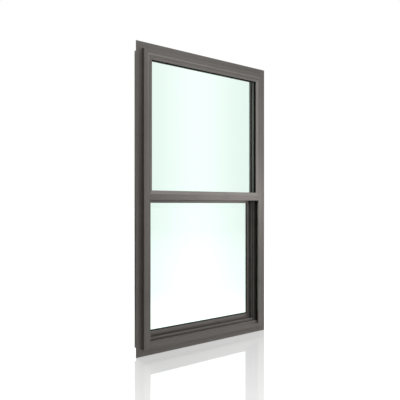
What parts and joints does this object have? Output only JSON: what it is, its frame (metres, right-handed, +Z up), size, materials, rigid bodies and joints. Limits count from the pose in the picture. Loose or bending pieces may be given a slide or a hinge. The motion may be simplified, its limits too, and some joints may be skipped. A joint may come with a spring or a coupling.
{
  "type": "single_hung_window",
  "caption": "Dark bronze aluminium single hung window with a nail fin all round, a fixed upper lite and a lower sash set behind it",
  "frame": {"origin": "On the back face of the nail fin, in the middle of the sill fin's length and width; the frame's bottom is 18.25 mm above it.", "axes": "+X right as seen from outside, +Y into the building, +Z up; the outside face looks along -Y."},
  "size_m": [0.9874, 0.1028, 1.6477],
  "materials": {
    "bronze": "satin dark bronze coating",
    "glass": "clear with a faint green cast",
    "gasket": "matt black",
    "balance": "dark, with drawn lines",
    "hardware": "satin bronze paint"
  },
  "bodies": {
    "root": {"frame_jamb_left": "bronze", "frame_jamb_right": "bronze", "frame_head": "bronze", "frame_sill": "bronze", "meeting_rail": "bronze", "fixed_bead_left": "bronze", "fixed_bead_right": "bronze", "fixed_bead_top": "bronze", "fixed_bead_bottom": "bronze", "fixed_glass": "glass", "fixed_gasket_outer": "gasket", "fixed_gasket_inner": "gasket", "sash_rail_bottom": "bronze", "sash_rail_top": "bronze", "sash_stile_left": "bronze", "sash_stile_right": "bronze", "sash_bead_bottom": "bronze", "sash_bead_top": "bronze", "sash_bead_left": "bronze", "sash_bead_right": "bronze", "sash_glass": "glass", "sash_gasket_outer": "gasket", "sash_gasket_inner": "gasket", "jamb_seal_left": "gasket", "jamb_seal_right": "gasket", "meeting_seal": "gasket", "sill_seal": "gasket", "balance_left": "balance", "balance_right": "balance", "sash_lock": "hardware", "lock_keeper": "hardware"}
  },
  "joints": []
}
